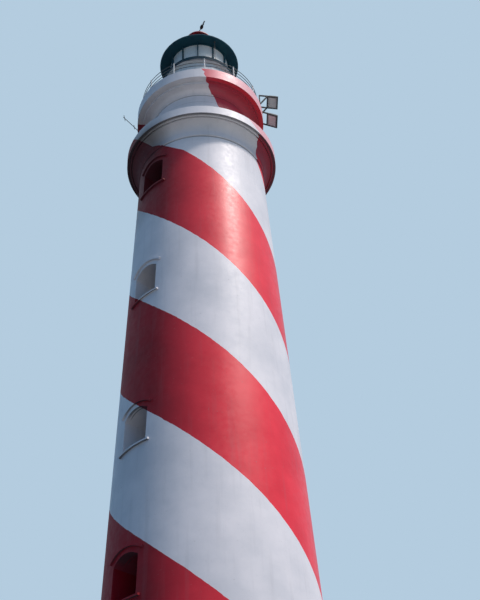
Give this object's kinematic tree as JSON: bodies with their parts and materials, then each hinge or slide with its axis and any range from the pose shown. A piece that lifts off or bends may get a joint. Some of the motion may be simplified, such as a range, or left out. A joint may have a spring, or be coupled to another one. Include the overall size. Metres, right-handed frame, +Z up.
{
  "type": "half-size lighthouse tower model",
  "caption": "Tapering round masonry lighthouse with spiral bands, moulded cornices, railed gallery and domed metal lantern with a turning wind vane.",
  "frame": {"origin": "centre of the round foot, at ground level", "axes": "+Z up along the tower's axis; -Y is the side seen in the picture, +X to its right"},
  "size_m": [3.8918, 3.8919, 20.5855],
  "materials": {
    "painted_masonry": "limewashed and painted in red and white bands",
    "window_timber": "dark painted timber",
    "window_glass": "clear",
    "door_timber": "painted planks",
    "threshold_stone": "worn",
    "white_iron": "weathered gloss paint",
    "green_iron": "dark green paint",
    "lantern_glass": "clear",
    "red_iron": "red paint",
    "vane_copper": "dark weathered",
    "bracket_steel": "dark grey paint",
    "lamp_housing": "grey powder coat"
  },
  "bodies": {
    "tower": {"aerial_rod": "bracket_steel", "dome_ribs": "green_iron", "door_frame": "door_timber", "door_leaf": "door_timber", "door_threshold": "threshold_stone", "floodlight_bracket": "bracket_steel", "floodlight_glasses": "window_glass", "gallery_deck": "painted_masonry", "gallery_door": "white_iron", "gallery_posts": "white_iron", "gallery_rails": "white_iron", "ground_floor": "threshold_stone", "lantern_dome": "green_iron", "lantern_eave": "green_iron", "lantern_glass": "lantern_glass", "lantern_glazing_bars": "green_iron", "lantern_murette": "white_iron", "lantern_sill_ring": "green_iron", "lower_cornice": "painted_masonry", "lower_floodlight": "lamp_housing", "plinth": "painted_masonry", "shaft_astragal": "painted_masonry", "shaft_lift_1_back": "painted_masonry", "shaft_lift_1_front": "painted_masonry", "shaft_lift_2_back": "painted_masonry", "shaft_lift_2_front": "painted_masonry", "shaft_lift_3_back": "painted_masonry", "shaft_lift_3_front": "painted_masonry", "shaft_lift_4_back": "painted_masonry", "shaft_lift_4_front": "painted_masonry", "shaft_lift_5_back": "painted_masonry", "shaft_lift_5_front": "painted_masonry", "shaft_lift_6_back": "painted_masonry", "shaft_lift_6_front": "painted_masonry", "upper_cornice": "painted_masonry", "upper_floodlight": "lamp_housing", "ventilator_and_spindle": "red_iron", "watch_room_wall": "painted_masonry", "window_frames": "window_timber", "window_hoods": "painted_masonry", "window_panes": "window_glass", "window_sills": "painted_masonry"},
    "vane": {"wind_vane": "vane_copper"}
  },
  "joints": [
    {"name": "vane_spin", "type": "hinge", "parent": "tower", "child": "vane", "pos_m": [0, 0, 20.5205], "axis": [0, 0, 1], "continuous": true}
  ]
}
